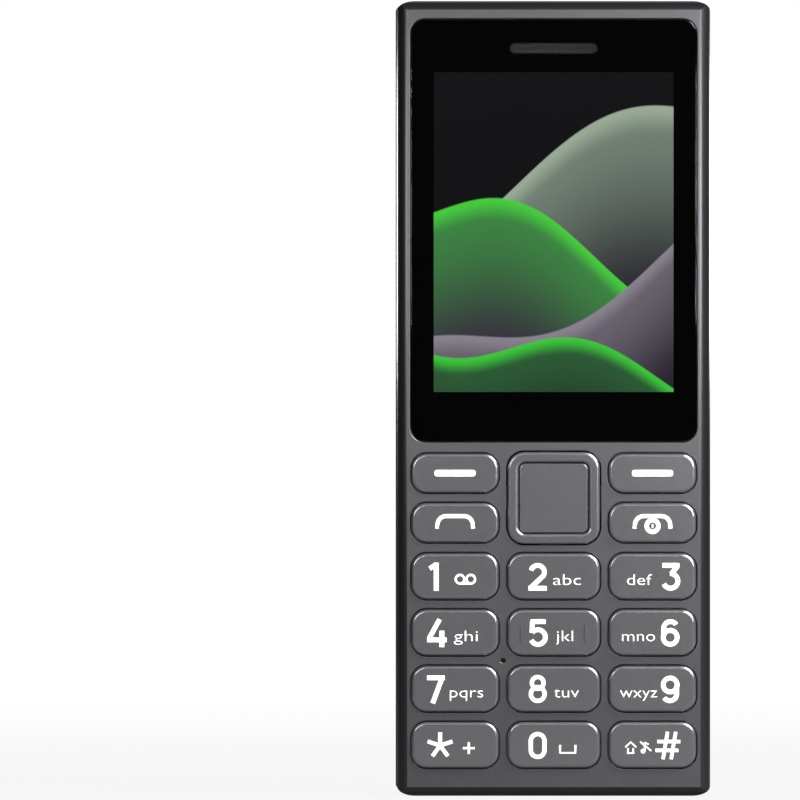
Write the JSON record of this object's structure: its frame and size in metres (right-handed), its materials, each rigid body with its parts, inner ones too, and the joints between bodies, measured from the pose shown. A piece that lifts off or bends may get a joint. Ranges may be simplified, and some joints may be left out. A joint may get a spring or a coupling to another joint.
{
  "type": "feature phone",
  "caption": "Bar-shaped feature phone with a colour display, number keypad, square navigation key, round camera disc and a back cover that lifts off the battery.",
  "frame": {"origin": "middle of the phone's footprint on its bottom end, which it stands on", "axes": "+Z along the phone towards the earpiece, +Y from the keypad face to the back, +X to the right as the user sees the keypad"},
  "size_m": [0.0484, 0.0144, 0.122],
  "materials": {
    "housing_paint": "satin graphite paint over moulded plastic",
    "cover_paint": "satin pearl graphite paint over moulded plastic",
    "key_plastic": "satin grey with white legends",
    "window_glass": "gloss, black border printed behind",
    "camera_glass": "gloss, black printed behind",
    "ring_metal": "turned and anodised dark grey",
    "bezel_metal": "anodised dark grey",
    "clear_lens": "clear",
    "lens_glass": "coated dark",
    "chassis_plastic": "black, fine texture",
    "black_plastic": "moulded",
    "white_plastic": "moulded",
    "silicone": "translucent grey silicone",
    "boot_rubber": "matte",
    "polyester_film": "white film",
    "board_laminate": "dark green solder mask",
    "panel_glass": "lit display",
    "sheet_steel": "tinned sheet",
    "spring_steel": "bright",
    "screw_steel": "black zinc",
    "gold_contact": "gold plated",
    "battery_foil": "foil-wrapped can",
    "flex_film": "amber film",
    "led_phosphor": "yellow phosphor"
  },
  "bodies": {
    "phone": {"front_housing": "housing_paint", "rear_chassis": "chassis_plastic", "display_window": "window_glass", "earpiece_mesh": "screw_steel", "earpiece_receiver": "black_plastic", "display_panel": "panel_glass", "display_backlight": "white_plastic", "display_tray": "sheet_steel", "display_flex": "flex_film", "keypad_mat": "silicone", "dome_film": "polyester_film", "metal_domes": "spring_steel", "keypad_lights": "led_phosphor", "microphone": "sheet_steel", "microphone_boot": "boot_rubber", "main_board": "board_laminate", "shield_can_processor": "sheet_steel", "shield_can_radio": "sheet_steel", "chassis_screws": "screw_steel", "battery_contacts": "black_plastic", "battery_springs": "gold_contact", "sim_holders": "sheet_steel", "memory_card_holder": "sheet_steel", "camera_module": "black_plastic", "camera_lens": "lens_glass", "flash_light": "led_phosphor", "usb_socket": "spring_steel", "usb_tongue": "black_plastic", "audio_jack": "black_plastic", "loudspeaker": "black_plastic", "vibration_motor": "sheet_steel", "antenna": "gold_contact"},
    "cover": {"back_cover": "cover_paint", "camera_ring": "ring_metal", "camera_window": "camera_glass", "flash_bezel": "bezel_metal", "camera_bezel": "bezel_metal", "flash_lens": "clear_lens"},
    "battery_pack": {"battery": "battery_foil", "battery_pads": "gold_contact"},
    "key_soft_left": {"key_soft_left": "key_plastic"},
    "key_soft_right": {"key_soft_right": "key_plastic"},
    "key_call": {"key_call": "key_plastic"},
    "key_end": {"key_end": "key_plastic"},
    "key_1": {"key_1": "key_plastic"},
    "key_2": {"key_2": "key_plastic"},
    "key_3": {"key_3": "key_plastic"},
    "key_4": {"key_4": "key_plastic"},
    "key_5": {"key_5": "key_plastic"},
    "key_6": {"key_6": "key_plastic"},
    "key_7": {"key_7": "key_plastic"},
    "key_8": {"key_8": "key_plastic"},
    "key_9": {"key_9": "key_plastic"},
    "key_star": {"key_star": "key_plastic"},
    "key_0": {"key_0": "key_plastic"},
    "key_hash": {"key_hash": "key_plastic"},
    "nav_pivot": {"nav_pivot_web": "silicone"},
    "nav_ring": {"nav_ring": "key_plastic"},
    "nav_select": {"nav_select": "key_plastic"}
  },
  "joints": [
    {"name": "cover_off", "type": "slide", "parent": "phone", "child": "cover", "axis": [0, 1, 0], "range_m": [0, 0.03]},
    {"name": "battery_out", "type": "slide", "parent": "phone", "child": "battery_pack", "axis": [0, 1, 0], "range_m": [0, 0.015]},
    {"name": "key_soft_left_press", "type": "slide", "parent": "phone", "child": "key_soft_left", "axis": [0, 1, 0], "range_m": [0, 0.0003], "stiffness_N_per_m": 2000},
    {"name": "key_soft_right_press", "type": "slide", "parent": "phone", "child": "key_soft_right", "axis": [0, 1, 0], "range_m": [0, 0.0003], "stiffness_N_per_m": 2000},
    {"name": "key_call_press", "type": "slide", "parent": "phone", "child": "key_call", "axis": [0, 1, 0], "range_m": [0, 0.0003], "stiffness_N_per_m": 2000},
    {"name": "key_end_press", "type": "slide", "parent": "phone", "child": "key_end", "axis": [0, 1, 0], "range_m": [0, 0.0003], "stiffness_N_per_m": 2000},
    {"name": "key_1_press", "type": "slide", "parent": "phone", "child": "key_1", "axis": [0, 1, 0], "range_m": [0, 0.0003], "stiffness_N_per_m": 2000},
    {"name": "key_2_press", "type": "slide", "parent": "phone", "child": "key_2", "axis": [0, 1, 0], "range_m": [0, 0.0003], "stiffness_N_per_m": 2000},
    {"name": "key_3_press", "type": "slide", "parent": "phone", "child": "key_3", "axis": [0, 1, 0], "range_m": [0, 0.0003], "stiffness_N_per_m": 2000},
    {"name": "key_4_press", "type": "slide", "parent": "phone", "child": "key_4", "axis": [0, 1, 0], "range_m": [0, 0.0003], "stiffness_N_per_m": 2000},
    {"name": "key_5_press", "type": "slide", "parent": "phone", "child": "key_5", "axis": [0, 1, 0], "range_m": [0, 0.0003], "stiffness_N_per_m": 2000},
    {"name": "key_6_press", "type": "slide", "parent": "phone", "child": "key_6", "axis": [0, 1, 0], "range_m": [0, 0.0003], "stiffness_N_per_m": 2000},
    {"name": "key_7_press", "type": "slide", "parent": "phone", "child": "key_7", "axis": [0, 1, 0], "range_m": [0, 0.0003], "stiffness_N_per_m": 2000},
    {"name": "key_8_press", "type": "slide", "parent": "phone", "child": "key_8", "axis": [0, 1, 0], "range_m": [0, 0.0003], "stiffness_N_per_m": 2000},
    {"name": "key_9_press", "type": "slide", "parent": "phone", "child": "key_9", "axis": [0, 1, 0], "range_m": [0, 0.0003], "stiffness_N_per_m": 2000},
    {"name": "key_star_press", "type": "slide", "parent": "phone", "child": "key_star", "axis": [0, 1, 0], "range_m": [0, 0.0003], "stiffness_N_per_m": 2000},
    {"name": "key_0_press", "type": "slide", "parent": "phone", "child": "key_0", "axis": [0, 1, 0], "range_m": [0, 0.0003], "stiffness_N_per_m": 2000},
    {"name": "key_hash_press", "type": "slide", "parent": "phone", "child": "key_hash", "axis": [0, 1, 0], "range_m": [0, 0.0003], "stiffness_N_per_m": 2000},
    {"name": "nav_up_down", "type": "hinge", "parent": "phone", "child": "nav_pivot", "pos_m": [0, -0.00389, 0.04568], "axis": [1, 0, 0], "range_deg": [-2, 2], "stiffness_Nm_per_rad": 0.08},
    {"name": "nav_left_right", "type": "hinge", "parent": "nav_pivot", "child": "nav_ring", "pos_m": [0, -0.00389, 0.04568], "axis": [0, 0, 1], "range_deg": [-2, 2], "stiffness_Nm_per_rad": 0.08},
    {"name": "nav_select_press", "type": "slide", "parent": "phone", "child": "nav_select", "axis": [0, 1, 0], "range_m": [0, 0.0003], "stiffness_N_per_m": 2000}
  ],
  "couplings": [
    {"joint": "battery_out", "follows": "cover_off", "ratio": 0.5}
  ]
}
